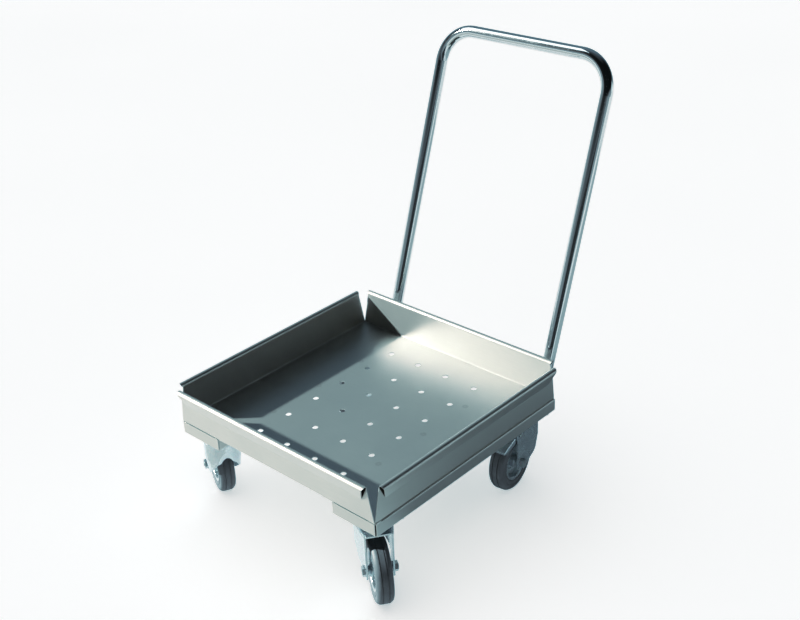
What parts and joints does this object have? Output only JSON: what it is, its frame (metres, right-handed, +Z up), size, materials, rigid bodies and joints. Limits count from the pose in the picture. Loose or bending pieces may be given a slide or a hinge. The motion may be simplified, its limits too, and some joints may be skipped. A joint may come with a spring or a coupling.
{
  "type": "rack trolley",
  "caption": "Low square stainless steel tray trolley for dishwasher racks, with a bent tube push handle, swivel castors and foot brakes at the handle end.",
  "frame": {"origin": "centre of the tray floor's upper face, which the rack rests on", "axes": "+Z up, +Y towards the push handle, +X to the right when facing the handle"},
  "size_m": [0.5979, 0.8002, 0.8131],
  "materials": {
    "tray_steel": "cold rolled stainless sheet, semi-mirror with a fine grain",
    "channel_steel": "cold rolled stainless sheet, folded",
    "handle_tube": "polished stainless tube",
    "castor_zinc": "pressed steel, bright zinc plated",
    "wheel_steel": "pressed steel discs, zinc plated",
    "fastener_steel": "zinc plated steel",
    "ball_steel": "bearing steel, lightly greased",
    "tyre_rubber": "grey rubber, moulded"
  },
  "bodies": {
    "chassis": {"tray": "tray_steel", "left_channel": "channel_steel", "right_channel": "channel_steel", "push_handle": "handle_tube", "handle_inserts": "fastener_steel", "handle_bolts": "fastener_steel", "castor_bolts": "fastener_steel", "castor_nuts": "fastener_steel", "castor_kingpins": "castor_zinc", "front_left_top_plate": "castor_zinc", "front_left_swivel_balls": "ball_steel", "front_left_lower_race": "castor_zinc", "front_right_top_plate": "castor_zinc", "front_right_swivel_balls": "ball_steel", "front_right_lower_race": "castor_zinc", "rear_left_top_plate": "castor_zinc", "rear_left_swivel_balls": "ball_steel", "rear_left_lower_race": "castor_zinc", "rear_right_top_plate": "castor_zinc", "rear_right_swivel_balls": "ball_steel", "rear_right_lower_race": "castor_zinc"},
    "front_left_yoke": {"front_left_fork": "castor_zinc", "front_left_axle_bolt": "fastener_steel", "front_left_axle_nut": "fastener_steel", "front_left_axle_sleeve": "fastener_steel"},
    "front_left_wheel": {"front_left_wheel_hub": "wheel_steel", "front_left_outer_disc": "wheel_steel", "front_left_inner_disc": "wheel_steel", "front_left_tyre": "tyre_rubber"},
    "front_right_yoke": {"front_right_fork": "castor_zinc", "front_right_axle_bolt": "fastener_steel", "front_right_axle_nut": "fastener_steel", "front_right_axle_sleeve": "fastener_steel"},
    "front_right_wheel": {"front_right_wheel_hub": "wheel_steel", "front_right_outer_disc": "wheel_steel", "front_right_inner_disc": "wheel_steel", "front_right_tyre": "tyre_rubber"},
    "rear_left_yoke": {"rear_left_fork": "castor_zinc", "rear_left_axle_bolt": "fastener_steel", "rear_left_axle_nut": "fastener_steel", "rear_left_axle_sleeve": "fastener_steel", "rear_left_brake_rivets": "fastener_steel"},
    "rear_left_wheel": {"rear_left_wheel_hub": "wheel_steel", "rear_left_outer_disc": "wheel_steel", "rear_left_inner_disc": "wheel_steel", "rear_left_tyre": "tyre_rubber"},
    "rear_left_pedal": {"rear_left_brake_pedal": "castor_zinc"},
    "rear_right_yoke": {"rear_right_fork": "castor_zinc", "rear_right_axle_bolt": "fastener_steel", "rear_right_axle_nut": "fastener_steel", "rear_right_axle_sleeve": "fastener_steel", "rear_right_brake_rivets": "fastener_steel"},
    "rear_right_wheel": {"rear_right_wheel_hub": "wheel_steel", "rear_right_outer_disc": "wheel_steel", "rear_right_inner_disc": "wheel_steel", "rear_right_tyre": "tyre_rubber"},
    "rear_right_pedal": {"rear_right_brake_pedal": "castor_zinc"}
  },
  "joints": [
    {"name": "front_left_swivel", "type": "hinge", "parent": "chassis", "child": "front_left_yoke", "pos_m": [-0.207, -0.212, -0.035], "axis": [0, 0, 1], "continuous": true},
    {"name": "front_left_spin", "type": "hinge", "parent": "front_left_yoke", "child": "front_left_wheel", "pos_m": [-0.2425, -0.19468, -0.1225], "axis": [-0.4384, -0.8988, 0], "continuous": true},
    {"name": "front_right_swivel", "type": "hinge", "parent": "chassis", "child": "front_right_yoke", "pos_m": [0.207, -0.212, -0.035], "axis": [0, 0, 1], "continuous": true},
    {"name": "front_right_spin", "type": "hinge", "parent": "front_right_yoke", "child": "front_right_wheel", "pos_m": [0.23912, -0.23499, -0.1225], "axis": [0.5821, 0.8131, 0], "continuous": true},
    {"name": "rear_left_swivel", "type": "hinge", "parent": "chassis", "child": "rear_left_yoke", "pos_m": [-0.207, 0.217, -0.035], "axis": [0, 0, 1], "continuous": true},
    {"name": "rear_left_spin", "type": "hinge", "parent": "rear_left_yoke", "child": "rear_left_wheel", "pos_m": [-0.21656, 0.17867, -0.1225], "axis": [0.9703, -0.2419, 0], "continuous": true},
    {"name": "rear_left_brake", "type": "hinge", "parent": "rear_left_yoke", "child": "rear_left_pedal", "pos_m": [-0.21801, 0.17285, -0.053], "axis": [0.9703, -0.2419, 0], "range_deg": [0, 10]},
    {"name": "rear_right_swivel", "type": "hinge", "parent": "chassis", "child": "rear_right_yoke", "pos_m": [0.207, 0.217, -0.035], "axis": [0, 0, 1], "continuous": true},
    {"name": "rear_right_spin", "type": "hinge", "parent": "rear_right_yoke", "child": "rear_right_wheel", "pos_m": [0.2125, 0.17788, -0.1225], "axis": [0.9903, 0.1392, 0], "continuous": true},
    {"name": "rear_right_brake", "type": "hinge", "parent": "rear_right_yoke", "child": "rear_right_pedal", "pos_m": [0.21333, 0.17194, -0.053], "axis": [0.9903, 0.1392, 0], "range_deg": [0, 10]}
  ]
}
